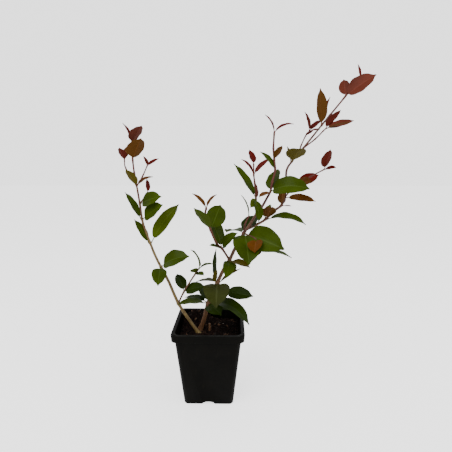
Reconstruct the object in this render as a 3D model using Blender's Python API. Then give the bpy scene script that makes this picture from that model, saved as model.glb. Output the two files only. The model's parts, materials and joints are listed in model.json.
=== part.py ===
"""Newport eugenia in its square nursery pot: a young shrub with two stems from one foot.

The script builds the pot, the soil, the stems, one long bough and the masses of foliage as solids.
Lengths in the growth record are millimetres, as right, away and up, seen from the front (+Y is away).
The origin is the centre of the pot's flat underside.
"""

import collections
import math

import bmesh
import bpy
from mathutils import Vector

MM = 0.001
GAP = 0.0003  # clear space between pieces that touch
UP = Vector((0, 0, 1))

# Pot: half sides are measured across the flats
POT_HEIGHT = 0.090
RIM_HALF = 0.0415
RIM_DEPTH = 0.0085
RIM_DRAFT = 0.0006
BODY_HALF_TOP = 0.0375
BODY_HALF_FOOT = 0.0285
WALL = 0.0013
FLOOR = 0.0016
CORNER_RADIUS = 0.007
FOOT_CHAMFER = 0.0012
NOTCH_WIDTH = 0.015
NOTCH_HEIGHT = 0.0035
NOTCH_DEPTH = 0.009
CORNER_STEPS = 5

# Soil
SOIL_LEVEL = 0.078
SOIL_BUMP = 0.0011
SOIL_FOOT_CORNER = 0.0055
SOIL_RINGS = (1.0, 0.86, 0.68, 0.48, 0.28, 0.1)
HEAPS = ((-0.018, 0.027, 0.017, 0.016), (0.020, 0.016, 0.014, 0.005))
STEM_PAD = 0.009  # soil without heaps or bumps round the stems' feet
PIT_MARGIN = 0.0012  # the flat pit in which a stem stands is this much wider than its flare

# Limbs and twigs
LIMB_SIDES = 10
TWIG_SIDES = 5
FLARE = 1.45
FLARE_LENGTH = 0.010
STUB_PLACE = (0, 0)
STUB_RADII = (0.0017, 0.0012)
STUB_HEIGHT = 0.009

# Rings: the swollen node that carries a pair of leaves round a whole stem
RING_SIDES = 10
RING_WALL = 0.0010
RING_HALF_HEIGHT = 0.0013

# Leaves
STALK_SHARE = 0.11  # part of a leaf's length that is its stalk
STALK_HALF = 0.0006
LEAF_THICKNESS_SHARE = 1 / 80
LEAF_MIN_THICKNESS = 0.00042
LEAF_FOLD = math.radians(14)
BLADE_STATIONS = (0.0, 0.16, 0.42, 0.72, 1.0)
BASE_POWER = 0.55
TIP_POWER = 0.80
TIP_HALF = 0.0003

# Growth record
Limb = collections.namedtuple("Limb", "name foot_radius tip_radius route")
Sprig = collections.namedtuple("Sprig", "name limb node twigs leaves")
Twig = collections.namedtuple("Twig", "parent node steps radius")
Leaf = collections.namedtuple("Leaf", "twig node heading rise length width roll curl tint")
RING = -1  # in place of a twig's number: the leaf stands on the ring round its limb
LIMB_TIP = -1

LIMBS = (
    Limb("stem_left", 2.0, 1.15, (
        (-13, -6, 78), (-23, -5, 92), (-37, -2, 113), (-49, 1, 140), (-58, 4, 156), (-65, 6, 170),
        (-71, 9, 184), (-77, 12, 199), (-81, 14, 212), (-84, 18, 230), (-88, 22, 251),
    )),
    Limb("stem_right", 2.7, 1.3, (
        (-12, 1, 78), (-6, -3, 95), (-1, -6, 115), (10, -9, 141), (17, -11, 157), (24, -12, 169),
        (31, -12, 184), (40, -12, 200), (47, -11, 210), (54, -9, 221), (61, -6, 230), (70, -4, 246),
    )),
    Limb("bough_right", 1.55, 1.1, (
        (47, -11, 206), (59, 0, 210), (66, 4, 214), (78, 10, 224), (85, 14, 229), (89, 17, 238),
        (91, 22, 254), (92, 26, 270), (98, 28, 280), (106, 30, 289), (112, 32, 296), (134, 38, 323),
    )),
)

SPRIGS = (
    Sprig("left_side_shoot", "stem_left", 2, (
        Twig(None, 0, ((8, -6, 17), (15, -9, 25), (4, -3, 6)), 0.91),
    ), (
        Leaf(0, 1, 120, 35, 27, 14, 5, 20, "dark"),
        Leaf(0, 1, 335, 20, 30, 15, -50, 20, "dark"),
        Leaf(0, 2, 262, 30, 17, 9, -25, 10, "green"),
        Leaf(0, 2, 305, 5, 18, 8, -20, 10, "green"),
        Leaf(0, 3, 215, 66, 25, 11, 20, 60, "green"),
        Leaf(0, 3, 10, 15, 17, 8, 0, 50, "green"),
    )),
    Sprig("left_leaves_low", "stem_left", 4, (), (
        Leaf(RING, 0, 275, -27, 31, 18, 5, 30, "green"),
        Leaf(RING, 0, 345, 22, 38, 24, -45, 60, "green"),
    )),
    Sprig("left_leaves_middle", "stem_left", 6, (), (
        Leaf(RING, 0, 165, 57, 34, 12, 20, 15, "green"),
        Leaf(RING, 0, 37, 49, 58, 18, -35, 38, "bright"),
    )),
    Sprig("left_leaves_upper", "stem_left", 8, (), (
        Leaf(RING, 0, 190, 62, 37, 12, 35, 15, "green"),
        Leaf(RING, 0, 337, 32, 34, 22, -60, 20, "green"),
    )),
    Sprig("left_leaves_high", "stem_left", 9, (
        Twig(None, 0, ((8, 7, 13),), 0.78),
    ), (
        Leaf(RING, 0, 335, 17, 32, 20, -60, 30, "green"),
        Leaf(0, 1, 105, 61, 19, 7, -35, 20, "red"),
    )),
    Sprig("left_top_shoot", "stem_left", LIMB_TIP, (
        Twig(None, 0, ((-3, 3, 14), (-2, 2, 17), (-1, 3, 20)), 0.98),
        Twig(0, 0, ((-14, 6, 21), (-2, 2, 10)), 0.72),
        Twig(0, 0, ((9, -4, 13), (6, -3, 11)), 0.72),
    ), (
        Leaf(0, 0, 243, 48, 27, 12, -10, 20, "olive"),
        Leaf(0, 0, 25, 29, 23, 10, -15, 50, "amber"),
        Leaf(0, 2, 312, 47, 33, 22, 5, 25, "amber"),
        Leaf(0, 3, 325, 46, 27, 19, 0, 20, "pink"),
        Leaf(0, 3, 162, 64, 27, 9, -5, 30, "red"),
        Leaf(1, 2, 265, 45, 20, 11, 10, 15, "red"),
        Leaf(1, 2, 75, 55, 23, 10, 0, 20, "amber"),
        Leaf(2, 2, 265, 43, 16, 7, 30, 20, "red"),
        Leaf(2, 2, 40, 30, 18, 7, -20, 15, "red"),
    )),
    Sprig("foot_leaves_low", "stem_right", 2, (), (
        Leaf(RING, 0, 147, -2, 34, 14, 5, 30, "dark"),
        Leaf(RING, 0, 211, 8, 36, 17, 5, 25, "green"),
        Leaf(RING, 0, 325, -12, 56, 20, -10, 95, "dark"),
        Leaf(RING, 0, 15, -18, 30, 13, -40, 30, "dark"),
        Leaf(RING, 0, 300, -5, 30, 20, -25, 40, "dark"),
        Leaf(RING, 0, 60, 12, 34, 18, 0, 30, "dark"),
        Leaf(RING, 0, 105, 20, 32, 17, 0, 30, "dark"),
    )),
    Sprig("foot_leaves_high", "stem_right", 3, (
        Twig(None, 0, ((9, 4, -12),), 0.91),
    ), (
        Leaf(RING, 0, 270, -17, 44, 30, 0, 50, "dull"),
        Leaf(RING, 0, 147, -10, 30, 14, 0, 20, "dull"),
        Leaf(RING, 0, 277, 66, 20, 9, -45, 15, "olive"),
        Leaf(RING, 0, 90, 80, 38, 12, 62, 5, "dark"),
        Leaf(RING, 0, 25, 27, 31, 10, 5, 10, "olive"),
        Leaf(0, 1, 333, 0, 36, 17, -45, 15, "dark"),
    )),
    Sprig("waist_leaves", "stem_right", 5, (), (
        Leaf(RING, 0, 262, -25, 30, 14, 20, 40, "green"),
        Leaf(RING, 0, 319, -6, 28, 11, -20, 30, "olive"),
        Leaf(RING, 0, 85, -44, 32, 12, -25, 20, "green"),
    )),
    Sprig("middle_shoot", "stem_right", 5, (
        Twig(None, 0, ((-8, -10, 15), (-6, -4, 7), (-6, -8, 16), (-5, -4, 16), (1, -2, 8)), 1.04),
    ), (
        Leaf(0, 1, 226, 20, 20, 10, 20, 10, "green"),
        Leaf(0, 1, 142, 61, 44, 19, 5, 20, "green"),
        Leaf(0, 1, 335, 46, 27, 14, -55, 50, "green"),
        Leaf(0, 3, 226, 48, 34, 16, -10, 15, "green"),
        Leaf(0, 3, 68, 43, 36, 22, -30, 15, "green"),
        Leaf(0, 5, 185, 47, 21, 7, 30, 40, "amber"),
        Leaf(0, 5, 0, 53, 18, 7, -25, 40, "amber"),
    )),
    Sprig("heart_leaves", "stem_right", 7, (
        Twig(None, 0, ((1, -8, 11), (4, -4, 10)), 0.78),
        Twig(None, 0, ((13, -17, -4), (6, -5, -11)), 0.78),
    ), (
        Leaf(RING, 0, 50, 38, 30, 20, -5, 20, "dark"),
        Leaf(RING, 0, 275, -32, 48, 31, 0, 40, "green"),
        Leaf(RING, 0, 322, -12, 52, 30, -55, 40, "green"),
        Leaf(RING, 0, 120, -8, 40, 20, 0, 30, "green"),
        Leaf(0, 2, 180, 70, 24, 8, 0, 40, "green"),
        Leaf(1, 1, 262, -28, 22, 17, -10, 30, "amber"),
        Leaf(1, 2, 217, -17, 20, 9, 20, 10, "pink"),
        Leaf(1, 2, 14, -16, 36, 13, -10, 25, "green"),
    )),
    Sprig("back_shoot", "stem_right", 9, (
        Twig(None, 0, ((0, 9, 17), (-1, 10, 17), (-1, 4, 10), (0, 4, 12)), 0.91),
    ), (
        Leaf(0, 1, 245, -28, 19, 9, 45, 10, "bright"),
        Leaf(0, 1, 275, -49, 32, 13, 30, 20, "green"),
        Leaf(0, 1, 175, 57, 47, 13, 35, 20, "green"),
        Leaf(0, 1, 261, 60, 22, 9, 60, 10, "pink"),
        Leaf(0, 3, 192, 50, 23, 8, 35, 40, "red"),
        Leaf(0, 3, 10, 43, 27, 8, -35, 40, "red"),
        Leaf(0, 4, 118, 60, 20, 11, -10, 10, "red"),
    )),
    Sprig("crown_shoot", "stem_right", LIMB_TIP, (
        Twig(None, 0, ((2, 1, 11), (3, 1, 13), (-1, 2, 12), (-1, 2, 12), (1, 3, 18)), 1.04),
    ), (
        Leaf(0, 0, 224, -15, 20, 9, 10, 10, "amber"),
        Leaf(0, 0, 337, 5, 44, 23, -55, 90, "green"),
        Leaf(0, 0, 60, 51, 33, 19, 15, 15, "green"),
        Leaf(0, 2, 165, 50, 27, 11, 25, 35, "green"),
        Leaf(0, 3, 290, 38, 23, 9, 0, 10, "amber"),
        Leaf(0, 5, 185, 61, 22, 7, 25, 45, "red"),
        Leaf(0, 5, 5, 23, 24, 7, -25, 60, "red"),
    )),
    Sprig("bough_leaves_low", "bough_right", 2, (), (
        Leaf(RING, 0, 285, 36, 26, 16, 15, 20, "amber"),
        Leaf(RING, 0, 65, 39, 24, 12, 20, 10, "bright"),
        Leaf(RING, 0, 342, -5, 45, 16, -20, 70, "green"),
    )),
    Sprig("bough_leaves_middle", "bough_right", 4, (), (
        Leaf(RING, 0, 270, 58, 21, 10, -20, 10, "amber"),
        Leaf(RING, 0, 67, 37, 20, 8, -35, 10, "red"),
        Leaf(RING, 0, 320, 2, 12, 5, 0, 5, "red"),
    )),
    Sprig("bough_side_shoot", "bough_right", 5, (
        Twig(None, 0, ((12, -9, 16), (14, -10, 9), (13, -8, 8)), 0.78),
    ), (
        Leaf(RING, 0, 342, -6, 35, 11, -45, 38, "amber"),
        Leaf(0, 1, 5, 22, 28, 14, -60, 20, "red"),
        Leaf(0, 1, 299, 8, 26, 14, -55, 15, "amber"),
        Leaf(0, 3, 275, 52, 26, 13, -15, 10, "red"),
        Leaf(0, 3, 305, 6, 16, 7, -40, 20, "red"),
    )),
    Sprig("bough_leaves_high", "bough_right", 8, (), (
        Leaf(RING, 0, 99, 51, 24, 12, -40, 10, "olive"),
        Leaf(RING, 0, 282, 26, 31, 24, 5, 20, "olive"),
    )),
    Sprig("tip_twig_left", "bough_right", 9, (
        Twig(None, 0, ((4, 6, 10), (7, 8, 13), (5, 4, 6)), 0.72),
    ), (
        Leaf(0, 2, 296, 19, 14, 6, 5, 5, "red"),
        Leaf(0, 3, 215, 68, 24, 9, 20, 25, "red"),
        Leaf(0, 3, 10, 40, 21, 9, -30, 25, "red"),
        Leaf(0, 3, 308, 2, 16, 6, -30, 5, "red"),
    )),
    Sprig("tip_twig_right", "bough_right", 10, (
        Twig(None, 0, ((12, -8, 10), (8, -6, 9), (2, -1, 2)), 0.72),
    ), (
        Leaf(0, 3, 290, 32, 32, 11, 0, 15, "red"),
        Leaf(0, 3, 12, 16, 37, 11, -45, 15, "pink"),
        Leaf(0, 3, 335, 12, 28, 8, -5, 20, "amber"),
    )),
    Sprig("tip_shoot", "bough_right", LIMB_TIP, (
        Twig(None, 0, ((10, 2, 12), (19, 4, 23), (19, 8, 24)), 0.98),
    ), (
        Leaf(0, 0, 242, 75, 43, 15, 15, 12, "amber"),
        Leaf(0, 0, 30, 70, 37, 11, 10, 15, "pink"),
        Leaf(0, 2, 338, 33, 40, 24, -62, 20, "pink"),
        Leaf(0, 2, 90, 66, 24, 14, 20, 10, "pink"),
        Leaf(0, 3, 100, 69, 18, 7, -30, 10, "red"),
    )),
)

# Colours as linear red, green and blue
BARK = (0.20, 0.085, 0.035)
TINTS = {
    "dark": (0.028, 0.050, 0.010),
    "green": (0.060, 0.105, 0.012),
    "bright": (0.110, 0.170, 0.016),
    "dull": (0.070, 0.085, 0.032),
    "olive": (0.160, 0.140, 0.015),
    "amber": (0.200, 0.085, 0.018),
    "red": (0.200, 0.024, 0.014),
    "pink": (0.240, 0.085, 0.060),
}
LEAF_ROUGHNESS = 0.4
PLASTIC = (0.008, 0.007, 0.006)
EARTH = (0.020, 0.012, 0.009)


def clear_scene():
    for obj in list(bpy.data.objects):
        bpy.data.objects.remove(obj)


def material(name, colour, roughness):
    made = bpy.data.materials.get(name)
    if made:
        return made
    made = bpy.data.materials.new(name)
    made.use_nodes = True
    shader = made.node_tree.nodes["Principled BSDF"]
    shader.inputs["Base Color"].default_value = (*colour, 1)
    shader.inputs["Roughness"].default_value = roughness
    shader.inputs["Metallic"].default_value = 0.0
    return made


def solid(name, rings, closed=False):
    """A mesh object through rings of points: its ends are capped, or joined to each other where closed."""
    mesh = bmesh.new()
    rows = [[mesh.verts.new(point) for point in ring] for ring in rings]
    pairs = list(zip(rows, rows[1:]))
    if closed:
        pairs.append((rows[-1], rows[0]))
    for low, high in pairs:
        count = len(low)
        for i in range(count):
            mesh.faces.new((low[i], low[(i + 1) % count], high[(i + 1) % count], high[i]))
    if not closed:
        mesh.faces.new(reversed(rows[0]))
        mesh.faces.new(rows[-1])
    bmesh.ops.recalc_face_normals(mesh, faces=mesh.faces)
    data = bpy.data.meshes.new(name)
    mesh.to_mesh(data)
    mesh.free()
    obj = bpy.data.objects.new(name, data)
    bpy.context.scene.collection.objects.link(obj)
    return obj


def fuse(base, others, operation="UNION"):
    """Joins the other objects to the base, or cuts them from it, by one Boolean, and removes them."""
    group = bpy.data.collections.new("operands")
    bpy.context.scene.collection.children.link(group)
    for obj in others:
        bpy.context.scene.collection.objects.unlink(obj)
        group.objects.link(obj)
    boolean = base.modifiers.new("fuse", "BOOLEAN")
    boolean.operation = operation
    boolean.operand_type = "COLLECTION"
    boolean.collection = group
    boolean.solver = "EXACT"
    bpy.context.view_layer.update()
    graph = bpy.context.evaluated_depsgraph_get()
    joined = bpy.data.meshes.new_from_object(base.evaluated_get(graph))
    base.modifiers.remove(boolean)
    base.data = joined
    for obj in others:
        bpy.data.objects.remove(obj)
    bpy.data.collections.remove(group)
    return base


def square_ring(half, radius, z):
    """A level ring of points: a square with round corners."""
    ring = []
    for corner in range(4):
        turn = corner * math.pi / 2
        centre = Vector((half - radius, half - radius))
        for step in range(CORNER_STEPS + 1):
            angle = step / CORNER_STEPS * math.pi / 2
            place = centre + radius * Vector((math.cos(angle), math.sin(angle)))
            x = place.x * math.cos(turn) - place.y * math.sin(turn)
            y = place.x * math.sin(turn) + place.y * math.cos(turn)
            ring.append(Vector((x, y, z)))
    return ring


def body_half(z):
    """The pot body's outer half side at a height."""
    share = z / (POT_HEIGHT - RIM_DEPTH)
    return BODY_HALF_FOOT + (BODY_HALF_TOP - BODY_HALF_FOOT) * share


def make_pot():
    """One thin wall with a flat floor and a rim that turns out and down, and a drain notch in each foot edge."""
    band_foot = POT_HEIGHT - RIM_DEPTH
    lip_under = POT_HEIGHT - WALL
    skirt = RIM_HALF - WALL
    profile = (
        (body_half(0) - FOOT_CHAMFER, 0),
        (body_half(FOOT_CHAMFER), FOOT_CHAMFER),
        (body_half(lip_under), lip_under),
        (skirt, lip_under),
        (skirt - RIM_DRAFT, band_foot),
        (RIM_HALF - RIM_DRAFT, band_foot),
        (RIM_HALF, lip_under),
        (RIM_HALF - WALL / 2, POT_HEIGHT),
        (body_half(POT_HEIGHT) - WALL, POT_HEIGHT),
        (body_half(FLOOR) - WALL, FLOOR),
    )
    rings = [square_ring(half, CORNER_RADIUS * half / RIM_HALF, z) for half, z in profile]
    pot = solid("pot", rings)
    cutters = [notch_cutter(side) for side in range(4)]
    fuse(pot, cutters, "DIFFERENCE")
    pot.data.materials.clear()
    pot.data.materials.append(material("plastic", PLASTIC, 0.5))
    return pot


def notch_cutter(side):
    """A low arch at the middle of one foot edge, through the wall and the floor behind it."""
    turn = side * math.pi / 2
    outside = BODY_HALF_FOOT + WALL
    inside = BODY_HALF_FOOT - NOTCH_DEPTH
    rings = []
    for reach in (outside, inside):
        ring = []
        for step in range(9):
            angle = math.pi * step / 8
            across = -NOTCH_WIDTH / 2 * math.cos(angle)
            ring.append((reach, across, NOTCH_HEIGHT * math.sin(angle)))
        ring.append((reach, NOTCH_WIDTH / 2, -WALL))
        ring.append((reach, -NOTCH_WIDTH / 2, -WALL))
        rings.append([
            (x * math.cos(turn) - y * math.sin(turn), x * math.sin(turn) + y * math.cos(turn), z)
            for x, y, z in ring
        ])
    return solid("notch_cutter", rings)


def soil_height(x, y):
    """The soil's surface: level round the stems, heaped at the back, with small bumps."""
    height = SOIL_LEVEL - GAP
    rise = sum(peak * math.exp(-((x - cx) ** 2 + (y - cy) ** 2) / width**2) for cx, cy, width, peak in HEAPS)
    bumps = SOIL_BUMP * (math.sin(x * 410 + 1.3) * math.cos(y * 365) + 0.6 * math.sin(x * 760 + y * 690))
    away = min((Vector((x, y)) - Vector(limb.route[0][:2]) * MM).length for limb in LIMBS[:2])
    away = min(away, (Vector((x, y)) - Vector(STUB_PLACE) * MM).length)
    share = min(1.0, max(0.0, (away - STEM_PAD / 2) / (STEM_PAD / 2)))
    return height + share * (rise + bumps)


def make_soil():
    """The root ball: it fills the pot, a hair clear of its wall, and its top is uneven."""
    foot = FLOOR + GAP
    rings = [square_ring(body_half(foot) - WALL - 2 * GAP, SOIL_FOOT_CORNER, foot)]
    edge = body_half(SOIL_LEVEL) - WALL - 2 * GAP
    for share in SOIL_RINGS:
        ring = square_ring(edge * share, CORNER_RADIUS * share, 0)
        rings.append([Vector((p.x, p.y, soil_height(p.x, p.y))) for p in ring])
    soil = solid("soil", rings)
    pits = [make_pit(limb.route[0], limb.foot_radius * FLARE * MM) for limb in LIMBS[:2]]
    pits.append(make_pit(STUB_PLACE, STUB_RADII[0]))
    fuse(soil, pits, "DIFFERENCE")
    soil.data.materials.clear()
    soil.data.materials.append(material("earth", EARTH, 0.95))
    return soil


def make_pit(place, radius):
    """A cutter with a flat foot, the gap below the soil's level, round one stem's foot."""
    foot = Vector((place[0] * MM, place[1] * MM, SOIL_LEVEL - GAP))
    wide = radius + PIT_MARGIN
    return tube("pit", [foot, foot + UP * POT_HEIGHT], (wide, 2 * wide), LIMB_SIDES)


def curve_through(points, steps):
    """A smooth curve through the points, with its steps between each two."""
    ends = [2 * points[0] - points[1], *points, 2 * points[-1] - points[-2]]
    curve = []
    for a, b, c, d in zip(ends, ends[1:], ends[2:], ends[3:]):
        for step in range(steps):
            t = step / steps
            curve.append(0.5 * (2 * b + (c - a) * t + (2 * a - 5 * b + 4 * c - d) * t**2
                                + (3 * b - a - 3 * c + d) * t**3))
    curve.append(points[-1].copy())
    return curve


def frames_along(points):
    """At each point, its direction and two cross axes that don't twist along the way."""
    frames = []
    across = None
    for i, _ in enumerate(points):
        along = (points[min(i + 1, len(points) - 1)] - points[max(i - 1, 0)]).normalized()
        if across is None:
            across = along.cross(Vector((0, 1, 0)))
        across = (across - along * across.dot(along)).normalized()
        frames.append((along, across, along.cross(across)))
    return frames


def tube(name, points, radii, sides, level_foot=False):
    """A round solid along the points. With a level foot its first ring lies flat."""
    rings = []
    for point, radius, (along, across, other) in zip(points, radii, frames_along(points)):
        ring = []
        for side in range(sides):
            angle = 2 * math.pi * side / sides
            ring.append(point + radius * (math.cos(angle) * across + math.sin(angle) * other))
        if level_foot and not rings:
            ring = [spot - along * ((spot.z - point.z) / along.z) for spot in ring]
        rings.append(ring)
    return solid(name, rings)


class LimbCurve:
    """Where a limb runs: its route's nodes, its smooth curve and its radius all along."""

    STEPS = 2

    def __init__(self, limb):
        self.limb = limb
        self.nodes = [Vector(place) * MM for place in limb.route]
        self.points = curve_through(self.nodes, self.STEPS)
        self.rooted = abs(self.nodes[0].z - SOIL_LEVEL) < GAP
        lengths = [0.0]
        for a, b in zip(self.points, self.points[1:]):
            lengths.append(lengths[-1] + (b - a).length)
        self.radii = [self.radius_at(length, lengths[-1]) for length in lengths]
        self.frames = frames_along(self.points)

    def radius_at(self, length, whole):
        radius = self.limb.foot_radius + (self.limb.tip_radius - self.limb.foot_radius) * length / whole
        if self.rooted:
            radius *= 1 + (FLARE - 1) * max(0.0, 1 - length / FLARE_LENGTH) ** 2
        return radius * MM

    def at(self, node):
        """The place, direction and radius at one of the route's nodes."""
        index = len(self.points) - 1 if node == LIMB_TIP else node * self.STEPS
        return self.points[index], self.frames[index][0], self.radii[index]


def make_limb(limb, parent):
    """A stem from the soil, or a bough that starts a hair clear of its parent stem."""
    curve = LimbCurve(limb)
    points = list(curve.points)
    radii = list(curve.radii)
    if parent:
        points[0] = clear_start(parent, parent_node(parent, points[0]), points[1] - points[0], radii[0])
    obj = tube(limb.name, points, radii, LIMB_SIDES, level_foot=curve.rooted)
    obj.data.materials.append(material("bark", BARK, 0.7))
    curve.points = points
    return curve


def swollen(curve):
    """The limb and a hair of air round it, to cut from a mass of leaves."""
    margin = GAP / math.cos(math.pi / LIMB_SIDES)
    radii = [radius + margin for radius in curve.radii]
    points = list(curve.points)
    points[0] = points[0] - curve.frames[0][0] * GAP
    points[-1] = points[-1] + curve.frames[-1][0] * GAP
    return tube("swollen", points, radii, LIMB_SIDES)


def drop_scraps(obj):
    """Keeps only the largest connected body of a mesh."""
    mesh = bmesh.new()
    mesh.from_mesh(obj.data)
    left = set(mesh.verts)
    bodies = []
    while left:
        body = set()
        front = [left.pop()]
        while front:
            vert = front.pop()
            body.add(vert)
            for edge in vert.link_edges:
                other = edge.other_vert(vert)
                if other in left:
                    left.remove(other)
                    front.append(other)
        bodies.append(body)
    bodies.sort(key=len)
    for body in bodies[:-1]:
        bmesh.ops.delete(mesh, geom=list(body), context="VERTS")
    mesh.to_mesh(obj.data)
    mesh.free()


def parent_node(parent, place):
    """The node of the parent limb that is nearest to a place."""
    return min(range(len(parent.nodes)), key=lambda i: (parent.nodes[i] - place).length)


def clear_start(limb_curve, node, direction, radius):
    """Where a round piece of this radius starts, so that its flat end clears the limb by the gap."""
    place, along, limb_radius = limb_curve.at(node)
    direction = direction.normalized()
    cosine = abs(direction.dot(along))
    if node == LIMB_TIP:
        sine = math.sqrt(max(0.0, 1 - cosine**2))
        return place + direction * ((GAP + radius * sine) / max(cosine, 0.3))
    sine = math.sqrt(max(0.0, 1 - cosine**2))
    return place + direction * ((limb_radius + GAP + radius * cosine) / max(sine, 0.4))


def ring_round(limb_curve, node):
    """The swollen node: a ring round the limb, the gap clear of it."""
    place, along, limb_radius = limb_curve.at(node)
    across = along.cross(Vector((0, 1, 0))).normalized()
    other = along.cross(across)
    inner = (limb_radius + GAP) / math.cos(math.pi / RING_SIDES) + GAP / 3
    outer = inner + RING_WALL
    rings = []
    for radius, shift in (
        (inner, -RING_HALF_HEIGHT), (outer, -RING_HALF_HEIGHT * 0.6),
        (outer, RING_HALF_HEIGHT * 0.6), (inner, RING_HALF_HEIGHT),
    ):
        ring = []
        for side in range(RING_SIDES):
            angle = 2 * math.pi * side / RING_SIDES
            turned = math.cos(angle) * across + math.sin(angle) * other
            ring.append(place + along * shift + turned * radius)
        rings.append(ring)
    return solid("ring", rings, closed=True), inner


def ring_foot(along, limb_curve, node, inner):
    """Where a stalk or twig stands: in the ring's wall, on the side that it leans to."""
    place, axis, _ = limb_curve.at(node)
    side = (along - axis * along.dot(axis)).normalized()
    return place + side * (inner + RING_WALL / 2)


def blade_half(share):
    """An ovate blade's half width along its length, 1 at the widest."""
    widest = BASE_POWER / (BASE_POWER + TIP_POWER)
    return (share / widest) ** BASE_POWER * ((1 - share) / (1 - widest)) ** TIP_POWER


def leaf_frame(leaf):
    """A leaf's direction to its tip, its cross axis and its upper face's normal."""
    heading, rise, roll = (math.radians(a) for a in (leaf.heading, leaf.rise, leaf.roll))
    along = Vector((math.cos(heading) * math.cos(rise), math.sin(heading) * math.cos(rise), math.sin(rise)))
    level = along.cross(UP).normalized()
    upward = level.cross(along)
    across = level * math.cos(roll) + upward * math.sin(roll)
    return along, across, across.cross(along)


def midrib(leaf, share):
    """Where the midrib is at a share of the leaf's length, from its node, and its direction there."""
    along, _, normal = leaf_frame(leaf)
    length = leaf.length * MM
    curl = math.radians(max(leaf.curl, 1))
    radius = length / (2 * math.sin(curl / 2))
    angle = curl * (share - 0.5)
    rise = radius * (math.cos(angle) - math.cos(curl / 2))
    place = along * (length / 2 + radius * math.sin(angle)) + normal * rise
    return place, along * math.cos(angle) - normal * math.sin(angle)


def make_leaf(leaf, node):
    """A thin closed blade on a short stalk, folded along its midrib."""
    _, across, _ = leaf_frame(leaf)
    length = leaf.length * MM
    thickness = max(LEAF_MIN_THICKNESS, length * LEAF_THICKNESS_SHARE)
    stations = [(0.0, STALK_HALF, STALK_HALF * 1.8, 0.0)]
    for share in BLADE_STATIONS:
        half = max(leaf.width / 2 * MM * blade_half(share), STALK_HALF if share < 0.5 else TIP_HALF)
        stations.append((STALK_SHARE + (1 - STALK_SHARE) * share, half, thickness, LEAF_FOLD))
    rings = []
    for share, half, thick, fold in stations:
        place, direction = midrib(leaf, share)
        normal = across.cross(direction)
        edge = across * (half * math.cos(fold))
        lift = normal * (half * math.sin(fold))
        middle = node + place
        up = normal * (thick / 2)
        rings.append([
            middle - edge + lift - up, middle - up, middle + edge + lift - up,
            middle + edge + lift + up, middle + up, middle - edge + lift + up,
        ])
    return solid("leaf", rings)


def make_sprig(sprig, curves):
    """One mass of foliage: its twigs, its ring where the limb runs on, and its leaves, fused."""
    limb_curve = curves[sprig.limb]
    place, _, limb_radius = limb_curve.at(sprig.node)
    pieces = []
    twig_nodes = []
    ring_inner = None
    if any(leaf.twig == RING for leaf in sprig.leaves):
        ring, ring_inner = ring_round(limb_curve, sprig.node)
        pieces.append(ring)
    for twig in sprig.twigs:
        origin = place if twig.parent is None else twig_nodes[twig.parent][twig.node]
        nodes = [origin]
        for step in twig.steps:
            nodes.append(nodes[-1] + Vector(step) * MM)
        radius = twig.radius * MM
        points = curve_through(nodes, 2)
        if twig.parent is None:
            toward = points[1] - points[0]
            if ring_inner:
                points[0] = ring_foot(toward.normalized(), limb_curve, sprig.node, ring_inner)
            else:
                points[0] = clear_start(limb_curve, sprig.node, toward, radius)
            nodes[0] = points[0]
        radii = [radius * (1 - 0.35 * i / (len(points) - 1)) for i, _ in enumerate(points)]
        pieces.append(tube("twig", points, radii, TWIG_SIDES))
        twig_nodes.append(nodes)
    for leaf in sprig.leaves:
        if leaf.twig == RING:
            node = ring_foot(leaf_frame(leaf)[0], limb_curve, sprig.node, ring_inner)
        else:
            node = twig_nodes[leaf.twig][leaf.node]
        pieces.append(make_leaf(leaf, node))
    obj = fuse(pieces[0], pieces[1:])
    obj = fuse(obj, [swollen(curve) for curve in curves.values()], "DIFFERENCE")
    drop_scraps(obj)
    obj.name = sprig.name
    tint = collections.Counter(leaf.tint for leaf in sprig.leaves).most_common(1)[0][0]
    obj.data.materials.clear()
    obj.data.materials.append(material("leaf_" + tint, TINTS[tint], LEAF_ROUGHNESS))
    return obj


def make_stub():
    """The stump of an old shoot, cut off just above the soil."""
    foot = Vector((STUB_PLACE[0] * MM, STUB_PLACE[1] * MM, SOIL_LEVEL))
    stub = tube("cut_stub", [foot, foot + UP * STUB_HEIGHT], STUB_RADII, TWIG_SIDES + 3)
    stub.data.materials.append(material("bark", BARK, 0.7))
    return stub


def main():
    clear_scene()
    make_pot()
    soil = make_soil()
    make_stub()
    curves = {}
    for limb in LIMBS:
        parent = curves["stem_right"] if limb.name == "bough_right" else None
        curves[limb.name] = make_limb(limb, parent)
    fuse(soil, [swollen(curve) for curve in curves.values()], "DIFFERENCE")
    for sprig in SPRIGS:
        make_sprig(sprig, curves)


main()
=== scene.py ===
"""Looks of a young eugenia shrub in a small square nursery pot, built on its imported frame.

The growth record is the one in the part's source, in millimetres as right, away and up. Its places
and angles were first worked out from places in the view with scratch programs, then altered by hand.
"""

import collections
import json
import math
import random

import bmesh
import bpy
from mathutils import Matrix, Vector, noise

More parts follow.
